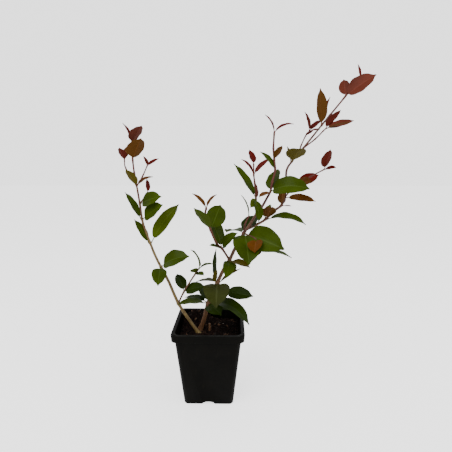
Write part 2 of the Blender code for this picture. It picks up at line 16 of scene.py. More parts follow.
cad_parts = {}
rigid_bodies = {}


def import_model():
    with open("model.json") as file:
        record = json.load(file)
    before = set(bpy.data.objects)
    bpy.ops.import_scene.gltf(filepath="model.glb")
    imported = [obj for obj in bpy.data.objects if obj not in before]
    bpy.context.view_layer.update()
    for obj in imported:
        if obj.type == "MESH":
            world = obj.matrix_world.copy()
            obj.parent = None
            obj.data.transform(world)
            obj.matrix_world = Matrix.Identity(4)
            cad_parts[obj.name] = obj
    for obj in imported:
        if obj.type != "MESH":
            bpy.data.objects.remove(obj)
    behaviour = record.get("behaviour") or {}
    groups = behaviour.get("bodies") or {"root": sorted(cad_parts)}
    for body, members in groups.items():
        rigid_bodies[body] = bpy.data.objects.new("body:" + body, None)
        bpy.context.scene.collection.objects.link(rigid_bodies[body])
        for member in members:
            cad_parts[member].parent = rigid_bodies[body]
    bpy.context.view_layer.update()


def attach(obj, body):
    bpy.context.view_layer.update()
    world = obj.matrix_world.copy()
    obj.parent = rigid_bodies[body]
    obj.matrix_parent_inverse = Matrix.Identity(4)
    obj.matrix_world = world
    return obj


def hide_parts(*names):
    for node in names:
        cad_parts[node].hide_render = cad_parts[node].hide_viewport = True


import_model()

MM = 0.001
GAP = 0.0003
UP = Vector((0, 0, 1))
SEED = 8320

# Camera: the photograph's view
CAMERA_PLACE = (0.027, -0.412, 0.270)
CAMERA_TILT = math.radians(81.2)
CAMERA_TURN = math.radians(1.0)
CAMERA_LENS = 28.7
SENSOR = 36.0

# Pot and soil, as in the source
POT_HEIGHT = 0.090
RIM_HALF = 0.0415
RIM_DEPTH = 0.0085
RIM_DRAFT = 0.0006
BODY_HALF_TOP = 0.0375
BODY_HALF_FOOT = 0.0285
WALL = 0.0013
FLOOR = 0.0016
CORNER_RADIUS = 0.007
FOOT_CHAMFER = 0.0012
NOTCH_WIDTH = 0.015
NOTCH_HEIGHT = 0.0035
NOTCH_DEPTH = 0.009
CORNER_STEPS = 12
POT_BEVEL = 0.0004
SOIL_LEVEL = 0.078
SOIL_GRID = 110
SOIL_GRAIN = 0.0011
HEAPS = ((-0.018, 0.027, 0.017, 0.016), (0.020, 0.016, 0.014, 0.005))
CHIPS = 150
FIBRES = 260
SPECKS = 14

# Limbs and twigs
LIMB_SIDES = 20
LIMB_STEPS = 8
TWIG_SIDES = 10
TWIG_STEPS = 6
FLARE = 1.45
FLARE_LENGTH = 0.010
NODE_SWELL = 0.32
NODE_SPREAD = 0.0016
STUB_PLACE = (0, 0)
STUB_RADII = (0.0017, 0.0012)
STUB_HEIGHT = 0.009
BARK_GRAIN = (900, 900, 160)  # how fast the relief changes across and along a stem, per metre
LIMB_RELIEF = 0.10
TWIG_RELIEF = 0.05
STUMP_RELIEF = 0.18
STUMP_STEPS = 6
TWIG_FULLNESS = 1.2  # twigs are this much thicker than in the source, to show at this size
TWIG_TAPER = 0.2
SIDE_REACH = 0.85  # how far out in a limb a stalk or twig starts, as a share of its radius
FULL_TURN = 6.28

# Leaves
STALK_SHARE = 0.11
STALK_HALF = 0.00055
THICKNESS = 0.00032
LEAF_FOLD = math.radians(14)
STATIONS = 18
COLUMNS = 4  # on each side of the midrib
BASE_POWER = 0.55
TIP_POWER = 0.80
DRIP_START = 0.86
DRIP_PINCH = 0.45
EDGE_WAVE = 0.05
EDGE_WAVES = 17
FAR_EDGE_SHIFT = 2.1  # the far edge's waves run this much ahead
EDGE_THINNING = 0.75
LEAST_HALF = 0.00012
RIB_SINK = 0.00018
RIB_SINK_SPREAD = 0.12
RIB_KEEL = 0.0002
RIB_KEEL_SPREAD = 0.15
STALK_STEPS = 4
STALK_SIDES = 6
STALK_OVERLAP = 0.03
UNDERSIDE_SHIFT = 2.0  # the lower face's map lies this far along from the upper face's

# Edges sharper than these stay sharp
BARK_SMOOTH = math.radians(60)
LEAF_SMOOTH = math.radians(50)
POT_SMOOTH = math.radians(38)
SOIL_SMOOTH = math.radians(70)

# Chips, grains and fibres on the soil
CHIP_SIZES = (0.0007, 0.0022)
GRAIN_SIZES = (0.0004, 0.0009)
CHIP_SHAPE = (1.6, 0.8, 0.4)
CHIP_ROUGHNESS = 0.12
CHIP_TILT = 0.7
LITTER_REACH = 0.94
FIBRE_START_REACH = 0.9
FIBRE_REACH = 0.95
FIBRE_LENGTHS = (0.003, 0.009)
FIBRE_BEND = 0.8
FIBRE_RADIUS = 0.00014
FIBRE_POINTS = 4

# Studio: the background is brighter where the camera sees it than as a source of light
WORLD_LIGHT = 0.75
WHITE = 2.2
FLOOR_WHITE = 1.62
FLOOR_SIZE = 6
KEY_POWER = 9.0
FILL_POWER = 4.0
LAMP_SIZE = 0.9
KEY_PLACE = (-0.5, -0.7, 1.2)
FILL_PLACE = (0.9, -0.5, 0.6)
LAMP_AIM = (0.03, 0, 0.2)

Limb = collections.namedtuple("Limb", "name foot_radius tip_radius route")
Sprig = collections.namedtuple("Sprig", "name limb node twigs leaves")
Twig = collections.namedtuple("Twig", "parent node steps radius")
Leaf = collections.namedtuple("Leaf", "twig node heading rise length width roll curl tint")
RING = -1  # in place of a twig's number: the leaf stands on the ring round its limb
LIMB_TIP = -1

LIMBS = (
    Limb("stem_left", 2.0, 1.15, (
        (-13, -6, 78), (-23, -5, 92), (-37, -2, 113), (-49, 1, 140), (-58, 4, 156), (-65, 6, 170),
        (-71, 9, 184), (-77, 12, 199), (-81, 14, 212), (-84, 18, 230), (-88, 22, 251),
    )),
    Limb("stem_right", 2.7, 1.3, (
        (-12, 1, 78), (-6, -3, 95), (-1, -6, 115), (10, -9, 141), (17, -11, 157), (24, -12, 169),
        (31, -12, 184), (40, -12, 200), (47, -11, 210), (54, -9, 221), (61, -6, 230), (70, -4, 246),
    )),
    Limb("bough_right", 1.55, 1.1, (
        (47, -11, 206), (59, 0, 210), (66, 4, 214), (78, 10, 224), (85, 14, 229), (89, 17, 238),
        (91, 22, 254), (92, 26, 270), (98, 28, 280), (106, 30, 289), (112, 32, 296), (134, 38, 323),
    )),
)

SPRIGS = (
    Sprig("left_side_shoot", "stem_left", 2, (
        Twig(None, 0, ((8, -6, 17), (15, -9, 25), (4, -3, 6)), 0.91),
    ), (
        Leaf(0, 1, 120, 35, 27, 14, 5, 20, "dark"),
        Leaf(0, 1, 335, 20, 30, 15, -50, 20, "dark"),
        Leaf(0, 2, 262, 30, 17, 9, -25, 10, "green"),
        Leaf(0, 2, 305, 5, 18, 8, -20, 10, "green"),
        Leaf(0, 3, 215, 66, 25, 11, 20, 60, "green"),
        Leaf(0, 3, 10, 15, 17, 8, 0, 50, "green"),
    )),
    Sprig("left_leaves_low", "stem_left", 4, (), (
        Leaf(RING, 0, 275, -27, 31, 18, 5, 30, "green"),
        Leaf(RING, 0, 345, 22, 38, 24, -45, 60, "green"),
    )),
    Sprig("left_leaves_middle", "stem_left", 6, (), (
        Leaf(RING, 0, 165, 57, 34, 12, 20, 15, "green"),
        Leaf(RING, 0, 37, 49, 58, 18, -35, 38, "bright"),
    )),
    Sprig("left_leaves_upper", "stem_left", 8, (), (
        Leaf(RING, 0, 190, 62, 37, 12, 35, 15, "green"),
        Leaf(RING, 0, 337, 32, 34, 22, -60, 20, "green"),
    )),
    Sprig("left_leaves_high", "stem_left", 9, (
        Twig(None, 0, ((8, 7, 13),), 0.78),
    ), (
        Leaf(RING, 0, 335, 17, 32, 20, -60, 30, "green"),
        Leaf(0, 1, 105, 61, 19, 7, -35, 20, "red"),
    )),
    Sprig("left_top_shoot", "stem_left", LIMB_TIP, (
        Twig(None, 0, ((-3, 3, 14), (-2, 2, 17), (-1, 3, 20)), 0.98),
        Twig(0, 0, ((-14, 6, 21), (-2, 2, 10)), 0.72),
        Twig(0, 0, ((9, -4, 13), (6, -3, 11)), 0.72),
    ), (
        Leaf(0, 0, 243, 48, 27, 12, -10, 20, "olive"),
        Leaf(0, 0, 25, 29, 23, 10, -15, 50, "amber"),
        Leaf(0, 2, 312, 47, 33, 22, 5, 25, "amber"),
        Leaf(0, 3, 325, 46, 27, 19, 0, 20, "pink"),
        Leaf(0, 3, 162, 64, 27, 9, -5, 30, "red"),
        Leaf(1, 2, 265, 45, 20, 11, 10, 15, "red"),
        Leaf(1, 2, 75, 55, 23, 10, 0, 20, "amber"),
        Leaf(2, 2, 265, 43, 16, 7, 30, 20, "red"),
        Leaf(2, 2, 40, 30, 18, 7, -20, 15, "red"),
    )),
    Sprig("foot_leaves_low", "stem_right", 2, (), (
        Leaf(RING, 0, 147, -2, 34, 14, 5, 30, "dark"),
        Leaf(RING, 0, 211, 8, 36, 17, 5, 25, "green"),
        Leaf(RING, 0, 325, -12, 56, 20, -10, 95, "dark"),
        Leaf(RING, 0, 15, -18, 30, 13, -40, 30, "dark"),
        Leaf(RING, 0, 300, -5, 30, 20, -25, 40, "dark"),
        Leaf(RING, 0, 60, 12, 34, 18, 0, 30, "dark"),
        Leaf(RING, 0, 105, 20, 32, 17, 0, 30, "dark"),
    )),
    Sprig("foot_leaves_high", "stem_right", 3, (
        Twig(None, 0, ((9, 4, -12),), 0.91),
    ), (
        Leaf(RING, 0, 270, -17, 44, 30, 0, 50, "dull"),
        Leaf(RING, 0, 147, -10, 30, 14, 0, 20, "dull"),
        Leaf(RING, 0, 277, 66, 20, 9, -45, 15, "olive"),
        Leaf(RING, 0, 90, 80, 38, 12, 62, 5, "dark"),
        Leaf(RING, 0, 25, 27, 31, 10, 5, 10, "olive"),
        Leaf(0, 1, 333, 0, 36, 17, -45, 15, "dark"),
    )),
    Sprig("waist_leaves", "stem_right", 5, (), (
        Leaf(RING, 0, 262, -25, 30, 14, 20, 40, "green"),
        Leaf(RING, 0, 319, -6, 28, 11, -20, 30, "olive"),
        Leaf(RING, 0, 85, -44, 32, 12, -25, 20, "green"),
    )),
    Sprig("middle_shoot", "stem_right", 5, (
        Twig(None, 0, ((-8, -10, 15), (-6, -4, 7), (-6, -8, 16), (-5, -4, 16), (1, -2, 8)), 1.04),
    ), (
        Leaf(0, 1, 226, 20, 20, 10, 20, 10, "green"),
        Leaf(0, 1, 142, 61, 44, 19, 5, 20, "green"),
        Leaf(0, 1, 335, 46, 27, 14, -55, 50, "green"),
        Leaf(0, 3, 226, 48, 34, 16, -10, 15, "green"),
        Leaf(0, 3, 68, 43, 36, 22, -30, 15, "green"),
        Leaf(0, 5, 185, 47, 21, 7, 30, 40, "amber"),
        Leaf(0, 5, 0, 53, 18, 7, -25, 40, "amber"),
    )),
    Sprig("heart_leaves", "stem_right", 7, (
        Twig(None, 0, ((1, -8, 11), (4, -4, 10)), 0.78),
        Twig(None, 0, ((13, -17, -4), (6, -5, -11)), 0.78),
    ), (
        Leaf(RING, 0, 50, 38, 30, 20, -5, 20, "dark"),
        Leaf(RING, 0, 275, -32, 48, 31, 0, 40, "green"),
        Leaf(RING, 0, 322, -12, 52, 30, -55, 40, "green"),
        Leaf(RING, 0, 120, -8, 40, 20, 0, 30, "green"),
        Leaf(0, 2, 180, 70, 24, 8, 0, 40, "green"),
        Leaf(1, 1, 262, -28, 22, 17, -10, 30, "amber"),
        Leaf(1, 2, 217, -17, 20, 9, 20, 10, "pink"),
        Leaf(1, 2, 14, -16, 36, 13, -10, 25, "green"),
    )),
    Sprig("back_shoot", "stem_right", 9, (
        Twig(None, 0, ((0, 9, 17), (-1, 10, 17), (-1, 4, 10), (0, 4, 12)), 0.91),
    ), (
        Leaf(0, 1, 245, -28, 19, 9, 45, 10, "bright"),
        Leaf(0, 1, 275, -49, 32, 13, 30, 20, "green"),
        Leaf(0, 1, 175, 57, 47, 13, 35, 20, "green"),
        Leaf(0, 1, 261, 60, 22, 9, 60, 10, "pink"),
        Leaf(0, 3, 192, 50, 23, 8, 35, 40, "red"),
        Leaf(0, 3, 10, 43, 27, 8, -35, 40, "red"),
        Leaf(0, 4, 118, 60, 20, 11, -10, 10, "red"),
    )),
    Sprig("crown_shoot", "stem_right", LIMB_TIP, (
        Twig(None, 0, ((2, 1, 11), (3, 1, 13), (-1, 2, 12), (-1, 2, 12), (1, 3, 18)), 1.04),
    ), (
        Leaf(0, 0, 224, -15, 20, 9, 10, 10, "amber"),
        Leaf(0, 0, 337, 5, 44, 23, -55, 90, "green"),
        Leaf(0, 0, 60, 51, 33, 19, 15, 15, "green"),
        Leaf(0, 2, 165, 50, 27, 11, 25, 35, "green"),
        Leaf(0, 3, 290, 38, 23, 9, 0, 10, "amber"),
        Leaf(0, 5, 185, 61, 22, 7, 25, 45, "red"),
        Leaf(0, 5, 5, 23, 24, 7, -25, 60, "red"),
    )),
    Sprig("bough_leaves_low", "bough_right", 2, (), (
        Leaf(RING, 0, 285, 36, 26, 16, 15, 20, "amber"),
        Leaf(RING, 0, 65, 39, 24, 12, 20, 10, "bright"),
        Leaf(RING, 0, 342, -5, 45, 16, -20, 70, "green"),
    )),
    Sprig("bough_leaves_middle", "bough_right", 4, (), (
        Leaf(RING, 0, 270, 58, 21, 10, -20, 10, "amber"),
        Leaf(RING, 0, 67, 37, 20, 8, -35, 10, "red"),
        Leaf(RING, 0, 320, 2, 12, 5, 0, 5, "red"),
    )),
    Sprig("bough_side_shoot", "bough_right", 5, (
        Twig(None, 0, ((12, -9, 16), (14, -10, 9), (13, -8, 8)), 0.78),
    ), (
        Leaf(RING, 0, 342, -6, 35, 11, -45, 38, "amber"),
        Leaf(0, 1, 5, 22, 28, 14, -60, 20, "red"),
        Leaf(0, 1, 299, 8, 26, 14, -55, 15, "amber"),
        Leaf(0, 3, 275, 52, 26, 13, -15, 10, "red"),
        Leaf(0, 3, 305, 6, 16, 7, -40, 20, "red"),
    )),
    Sprig("bough_leaves_high", "bough_right", 8, (), (
        Leaf(RING, 0, 99, 51, 24, 12, -40, 10, "olive"),
        Leaf(RING, 0, 282, 26, 31, 24, 5, 20, "olive"),
    )),
    Sprig("tip_twig_left", "bough_right", 9, (
        Twig(None, 0, ((4, 6, 10), (7, 8, 13), (5, 4, 6)), 0.72),
    ), (
        Leaf(0, 2, 296, 19, 14, 6, 5, 5, "red"),
        Leaf(0, 3, 215, 68, 24, 9, 20, 25, "red"),
        Leaf(0, 3, 10, 40, 21, 9, -30, 25, "red"),
        Leaf(0, 3, 308, 2, 16, 6, -30, 5, "red"),
    )),
    Sprig("tip_twig_right", "bough_right", 10, (
        Twig(None, 0, ((12, -8, 10), (8, -6, 9), (2, -1, 2)), 0.72),
    ), (
        Leaf(0, 3, 290, 32, 32, 11, 0, 15, "red"),
        Leaf(0, 3, 12, 16, 37, 11, -45, 15, "pink"),
        Leaf(0, 3, 335, 12, 28, 8, -5, 20, "amber"),
    )),
    Sprig("tip_shoot", "bough_right", LIMB_TIP, (
        Twig(None, 0, ((10, 2, 12), (19, 4, 23), (19, 8, 24)), 0.98),
    ), (
        Leaf(0, 0, 242, 75, 43, 15, 15, 12, "amber"),
        Leaf(0, 0, 30, 70, 37, 11, 10, 15, "pink"),
        Leaf(0, 2, 338, 33, 40, 24, -62, 20, "pink"),
        Leaf(0, 2, 90, 66, 24, 14, 20, 10, "pink"),
        Leaf(0, 3, 100, 69, 18, 7, -30, 10, "red"),
    )),
)

# Colours as linear red, green and blue
TINTS = {
    # dark: painted shade, a darker copy of the green for leaves that lie in shade, mostly low in the shrub
    # and behind others
    "dark": (0.0150, 0.0300, 0.0010),
    "green": (0.036, 0.060, 0.0010),
    "bright": (0.060, 0.086, 0.0010),
    "dull": (0.034, 0.041, 0.0070),
    "olive": (0.088, 0.066, 0.0015),
    "amber": (0.105, 0.034, 0.0020),
    "red": (0.100, 0.0050, 0.0020),
    "pink": (0.120, 0.0250, 0.0130),
}
UNDERSIDES = {
    # dark: painted shade, the darker copy of the green's underside, for the leaves that lie in shade
    "dark": (0.027, 0.042, 0.0060),
    "green": (0.052, 0.075, 0.0060),
    "bright": (0.075, 0.100, 0.0060),
    "dull": (0.045, 0.052, 0.0140),
    "olive": (0.095, 0.075, 0.0060),
    "amber": (0.110, 0.044, 0.0070),
    "red": (0.105, 0.0140, 0.0070),
    "pink": (0.125, 0.0320, 0.0190),
}


class Wire:
    """One socket of a shader, with arithmetic that adds Math nodes."""

    def __init__(self, shader, socket):
        self.shader = shader
        self.socket = socket

    def maths(self, operation, other, reflected=False):
        pair = (other, self) if reflected else (self, other)
        return self.shader.node("ShaderNodeMath", {"operation": operation}, {0: pair[0], 1: pair[1]})

    def __add__(self, other):
        return self.maths("ADD", other)

    __radd__ = __add__

    def __mul__(self, other):
        return self.maths("MULTIPLY", other)

    __rmul__ = __mul__

    def __sub__(self, other):
        return self.maths("SUBTRACT", other)

    def __rsub__(self, other):
        return self.maths("SUBTRACT", other, reflected=True)

    def __gt__(self, other):
        return self.maths("GREATER_THAN", other)


class Shader:
    """A material under construction."""

    def __init__(self, name, roughness=0.5, specular=0.5):
        self.material = bpy.data.materials.new(name)
        self.material.use_nodes = True
        self.tree = self.material.node_tree
        self.surface = self.tree.nodes["Principled BSDF"]
        self.surface.inputs["Roughness"].default_value = roughness
        self.surface.inputs["Specular IOR Level"].default_value = specular

    def node(self, kind, settings=None, values=None, output=0):
        made = self.tree.nodes.new(kind)
        for key, value in (settings or {}).items():
            setattr(made, key, value)
        for key, value in (values or {}).items():
            self.feed(made.inputs[key], value)
        return Wire(self, made.outputs[output])

    def feed(self, socket, value):
        if isinstance(value, Wire):
            self.tree.links.new(value.socket, socket)
        elif isinstance(value, tuple) and len(value) == 3 and socket.type == "RGBA":
            socket.default_value = (*value, 1)
        else:
            socket.default_value = value

    def feeds(self, **values):
        for key, value in values.items():
            self.feed(self.surface.inputs[key.replace("_", " ")], value)

    def place(self):
        return self.node("ShaderNodeTexCoord", output="Object")

    def noise(self, scale, detail=4.0, stretch=(1, 1, 1)):
        where = self.node("ShaderNodeMapping", {}, {"Vector": self.place(), "Scale": stretch})
        return self.node("ShaderNodeTexNoise", {}, {"Vector": where, "Scale": scale, "Detail": detail}, "Fac")

    def blend(self, factor, first, second):
        made = self.node("ShaderNodeMix", {"data_type": "RGBA"}, {"Factor": factor}, 2)
        mix = made.socket.node
        self.feed(mix.inputs[6], first)
        self.feed(mix.inputs[7], second)
        return made

    def span(self, value, low, high, first=0.0, last=1.0):
        return self.node("ShaderNodeMapRange", {}, {0: value, 1: low, 2: high, 3: first, 4: last})

    def bump(self, height, strength, distance):
        values = {"Height": height, "Strength": strength, "Distance": distance}
        normal = self.node("ShaderNodeBump", {}, values)
        self.feeds(Normal=normal)


def leaf_material(tint):
    """A glossy blade: paler midrib and side veins, slow changes of tone, a paler matt underside."""
    shader = Shader("leaf_" + tint, roughness=0.4, specular=0.07)
    uv = shader.node("ShaderNodeUVMap", {"uv_map": "blade"})
    split = shader.node("ShaderNodeSeparateXYZ", {}, {0: uv})
    across = Wire(shader, split.socket.node.outputs["Y"])
    under = split > UNDERSIDE_SHIFT - 0.5
    run = split - under * UNDERSIDE_SHIFT
    off = shader.node("ShaderNodeMath", {"operation": "ABSOLUTE"}, {0: across})
    rib = shader.span(off, 0.02, 0.09, 1.0, 0.0)
    veins = (run * 13.0 - off * 3.2) * 6.283
    wave = shader.node("ShaderNodeMath", {"operation": "SINE"}, {0: veins})
    vein = shader.span(wave, 0.86, 1.0, 0.0, 0.5) * shader.span(off, 0.1, 0.9, 1.0, 0.2)
    tone = shader.noise(42.0, 3.0)
    base = TINTS[tint]
    deep = tuple(channel * 0.72 for channel in base)
    light = tuple(min(1.0, channel * 1.28) for channel in base)
    upper = shader.blend(shader.span(tone, 0.3, 0.7), deep, light)
    pale = tuple(min(1.0, channel * 1.6 + 0.012) for channel in base)
    upper = shader.blend(vein * 0.16, upper, pale)
    upper = shader.blend(rib * 0.6, upper, pale)
    below = shader.blend(rib * 0.6, UNDERSIDES[tint], pale)
    roughness = 0.33 + under * 0.22 + tone * 0.10
    shader.feeds(Base_Color=shader.blend(under, upper, below), Roughness=roughness)
    shader.bump(rib * -0.6 + vein * -0.4 + shader.noise(900.0, 2.0) * 0.12, 0.35, 0.0004)
    return shader.material


def bark_material(name, low, high, turn_height, spread):
    """Smooth young bark: one colour at the foot, another higher up, and fine lengthwise cracks."""
    shader = Shader(name, roughness=0.5)
    height = shader.node("ShaderNodeSeparateXYZ", {}, {0: shader.place()}, "Z")
    change = shader.span(height, turn_height - spread, turn_height + spread)
    grain = shader.noise(700.0, 5.0, (1, 1, 0.14))
    patches = shader.noise(120.0, 3.0)
    colour = shader.blend(change, low, high)
    colour = shader.blend(shader.span(grain, 0.42, 0.75, 0.0, 0.7), colour, tuple(c * 0.35 for c in high))
    patch = tuple(min(1, c * 1.5) for c in low)
    colour = shader.blend(shader.span(patches, 0.5, 0.8, 0.0, 0.5), colour, patch)
    shader.feeds(Base_Color=colour, Roughness=0.42 + grain * 0.3)
    shader.bump(grain, 0.5, 0.0005)
    return shader.material


def plastic_material():
    """Near-black moulded plastic with faint scuffs and a fine grain."""
    shader = Shader("pot_plastic", roughness=0.45, specular=0.08)
    cloud = shader.noise(60.0, 5.0)
    scuff = shader.noise(260.0, 6.0, (1, 1, 0.25))
    colour = shader.blend(
        shader.span(cloud, 0.35, 0.7), (0.0017, 0.0015, 0.0009), (0.0034, 0.0029, 0.0018))
    colour = shader.blend(shader.span(scuff, 0.62, 0.78, 0.0, 0.5), colour, (0.011, 0.009, 0.006))
    shader.feeds(Base_Color=colour, Roughness=0.34 + scuff * 0.25)
    shader.bump(shader.noise(2200.0, 3.0), 0.15, 0.0002)
    return shader.material


def soil_material():
    """Dark potting soil, with brown and reddish grains."""
    shader = Shader("soil_crumb", roughness=0.95, specular=0.08)
    coarse = shader.noise(330.0, 6.0)
    fine = shader.noise(1500.0, 5.0)
    colour = shader.blend(
        shader.span(coarse, 0.35, 0.65), (0.0016, 0.0010, 0.0010), (0.010, 0.0048, 0.0036))
    colour = shader.blend(shader.span(fine, 0.58, 0.75, 0.0, 0.7), colour, (0.040, 0.019, 0.014))
    shader.feeds(Base_Color=colour)
    shader.bump(coarse + fine * 0.6, 0.9, 0.0010)
    return shader.material


def plain_material(name, colour, roughness):
    """One colour with a mottle, for bits on the soil."""
    shader = Shader(name, roughness=roughness, specular=0.25)
    tone = shader.noise(900.0, 4.0)
    dark = tuple(channel * 0.5 for channel in colour)
    shader.feeds(Base_Color=shader.blend(shader.span(tone, 0.3, 0.7), dark, colour))
    shader.bump(tone, 0.6, 0.0004)
    return shader.material


def piece(name, mesh, materials, smooth_angle=None):
    """Makes a finished mesh an object that rides on the part."""
    if smooth_angle is not None:
        for face in mesh.faces:
            face.smooth = True
        for edge in mesh.edges:
            edge.smooth = len(edge.link_faces) == 2 and edge.calc_face_angle(0) < smooth_angle
    data = bpy.data.meshes.new(name)
    mesh.to_mesh(data)
    mesh.free()
    obj = bpy.data.objects.new(name, data)
    for made in materials:
        data.materials.append(made)
    bpy.context.scene.collection.objects.link(obj)
    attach(obj, "root")
    return obj


def loft(mesh, rings, material=0):
    """Skins rings of points with equal counts, and caps the ends."""
    rows = [[mesh.verts.new(point) for point in ring] for ring in rings]
    faces = []
    for low, high in zip(rows, rows[1:]):
        count = len(low)
        for i in range(count):
            j = (i + 1) % count
            faces.append(mesh.faces.new((low[i], low[j], high[j], high[i])))
    faces.append(mesh.faces.new(reversed(rows[0])))
    faces.append(mesh.faces.new(rows[-1]))
    for face in faces:
        face.material_index = material


def curve_through(points, steps):
    """A smooth curve through the points, with its steps between each two."""
    ends = [2 * points[0] - points[1], *points, 2 * points[-1] - points[-2]]
    curve = []
    for a, b, c, d in zip(ends, ends[1:], ends[2:], ends[3:]):
        for step in range(steps):
            t = step / steps
            curve.append(0.5 * (2 * b + (c - a) * t + (2 * a - 5 * b + 4 * c - d) * t**2
                                + (3 * b - a - 3 * c + d) * t**3))
    curve.append(points[-1].copy())
    return curve


def frames_along(points):
    """At each point: the direction along the curve and two across it that turn as little as they can."""
    frames = []
    across = None
    for i, _ in enumerate(points):
        along = (points[min(i + 1, len(points) - 1)] - points[max(i - 1, 0)]).normalized()
        if across is None:
            across = along.cross(Vector((0, 1, 0)))
        across = (across - along * across.dot(along)).normalized()
        frames.append((along, across, along.cross(across)))
    return frames


def tube(mesh, points, radii, sides, level_foot=False, relief=0.0, material=0):
    """A round skin along the points, with a little relief across its surface."""
    rings = []
    for point, radius, (along, across, other) in zip(points, radii, frames_along(points)):
        ring = []
        for side in range(sides):
            angle = 2 * math.pi * side / sides
            turned = math.cos(angle) * across + math.sin(angle) * other
            spot = point + radius * turned
            stretched = Vector(part * grain for part, grain in zip(spot, BARK_GRAIN))
            spot = spot + turned * (radius * relief * noise.noise(stretched))
            ring.append(spot)
        if level_foot and not rings:
            ring = [spot - along * ((spot.z - point.z) / along.z) for spot in ring]
        rings.append(ring)
    loft(mesh, rings, material=material)


class LimbCurve:
    """Where a limb runs: its route's nodes, its smooth curve and its radius all along."""

    def __init__(self, limb, swells):
        self.limb = limb
        self.nodes = [Vector(place) * MM for place in limb.route]
        self.points = curve_through(self.nodes, LIMB_STEPS)
        self.rooted = abs(self.nodes[0].z - SOIL_LEVEL) < GAP
        lengths = [0.0]
        for a, b in zip(self.points, self.points[1:]):
            lengths.append(lengths[-1] + (b - a).length)
        self.frames = frames_along(self.points)
        self.radii = []
        for length in lengths:
            radius = limb.foot_radius + (limb.tip_radius - limb.foot_radius) * length / lengths[-1]
            if self.rooted:
                radius *= 1 + (FLARE - 1) * max(0.0, 1 - length / FLARE_LENGTH) ** 2
            near = min((abs(length - lengths[node * LIMB_STEPS]) for node in swells), default=1.0)
            radius *= 1 + NODE_SWELL * math.exp(-((near / NODE_SPREAD) ** 2))
            self.radii.append(radius * MM)

    def at(self, node):
        """The place, direction and radius at a node."""
        index = len(self.points) - 1 if node == LIMB_TIP else node * LIMB_STEPS
        return self.points[index], self.frames[index][0], self.radii[index]


def side_foot(along, curve, node):
    """Where a stalk or twig stands: on the limb's side that it leans to."""
    place, axis, radius = curve.at(node)
    side = (along - axis * along.dot(axis)).normalized()
    return place + side * radius * SIDE_REACH


def blade_half(share):
    """An ovate blade's half width along its length, 1 at the widest, with a drawn-out tip."""
    widest = BASE_POWER / (BASE_POWER + TIP_POWER)
    half = (share / widest) ** BASE_POWER * ((1 - share) / (1 - widest)) ** TIP_POWER
    if share > DRIP_START:
        half *= 1 - DRIP_PINCH * math.sin((share - DRIP_START) / (1 - DRIP_START) * math.pi)
    return half


def leaf_frame(leaf):
    """A leaf's directions: along it, across it and out of its upper face."""
    heading, rise, roll = (math.radians(a) for a in (leaf.heading, leaf.rise, leaf.roll))
    along = Vector((math.cos(heading) * math.cos(rise), math.sin(heading) * math.cos(rise), math.sin(rise)))
    level = along.cross(UP).normalized()
    upward = level.cross(along)
    across = level * math.cos(roll) + upward * math.sin(roll)
    return along, across, across.cross(along)


def midrib(leaf, share):
    """Place and direction of a curled leaf's midrib, a share of the way from its foot."""
    along, _, normal = leaf_frame(leaf)
    length = leaf.length * MM
    curl = math.radians(max(leaf.curl, 1))
    radius = length / (2 * math.sin(curl / 2))
    angle = curl * (share - 0.5)
    rise = radius * (math.cos(angle) - math.cos(curl / 2))
    place = along * (length / 2 + radius * math.sin(angle)) + normal * rise
    return place, along * math.cos(angle) - normal * math.sin(angle)


def blade_ring(leaf, node, share, run, phase):
    """The closed section of a blade at one station: the upper face's points, then the lower face's."""
    _, across, _ = leaf_frame(leaf)
    place, direction = midrib(leaf, share)
    normal = across.cross(direction)
    half = max(leaf.width / 2 * MM * blade_half(run), LEAST_HALF)
    upper = []
    lower = []
    for column in range(-COLUMNS, COLUMNS + 1):
        v = column / COLUMNS
        shift = FAR_EDGE_SHIFT if v > 0 else 0
        wave = EDGE_WAVE * half * abs(v) ** 2 * math.sin(run * EDGE_WAVES + phase + shift)
        sink = RIB_SINK * math.exp(-((v / RIB_SINK_SPREAD) ** 2))
        lift = half * math.sin(LEAF_FOLD) * abs(v) ** 1.2 + wave - sink
        middle = node + place + across * (half * v * math.cos(LEAF_FOLD)) + normal * lift
        thick = THICKNESS / 2 * (1 - EDGE_THINNING * v * v)
        keel = RIB_KEEL * math.exp(-((v / RIB_KEEL_SPREAD) ** 2))
        upper.append((middle + normal * thick, v))
        lower.append((middle - normal * (thick + keel), v))
    return upper + lower[::-1]


def grow_leaf(mesh, layer, leaf, node, tints, draw):
    """One blade in its own outline on a short stalk."""
    phase = draw.uniform(0, FULL_TURN)
    rows = []
    for station in range(STATIONS + 1):
        run = 0.5 - 0.5 * math.cos(math.pi * station / STATIONS)
        share = STALK_SHARE + (1 - STALK_SHARE) * run
        ring = blade_ring(leaf, node, share, min(max(run, 0.0), 1.0), phase)
        rows.append([(mesh.verts.new(point), run, v) for point, v in ring])
    count = len(rows[0])
    index = tints.index(leaf.tint)
    faces = []
    for low, high in zip(rows, rows[1:]):
        for i in range(count):
            j = (i + 1) % count
            face = mesh.faces.new((low[i][0], low[j][0], high[j][0], high[i][0]))
            below = i > 2 * COLUMNS
            faces.append(face)
            for loop, (_, run, v) in zip(face.loops, (low[i], low[j], high[j], high[i])):
                loop[layer].uv = (run + (UNDERSIDE_SHIFT if below else 0.0), v)
    for row, turned in ((rows[0], True), (rows[-1], False)):
        verts = [vert for vert, _, _ in row]
        faces.append(mesh.faces.new(verts[::-1] if turned else verts))
    for face in faces:
        face.material_index = index
    stalk = []
    radii = []
    for step in range(STALK_STEPS + 1):
        share = (STALK_SHARE + STALK_OVERLAP) * step / STALK_STEPS
        stalk.append(node + midrib(leaf, share)[0])
        radii.append(STALK_HALF * (1.25 - 0.12 * step))
    tube(mesh, stalk, radii, STALK_SIDES, material=index)


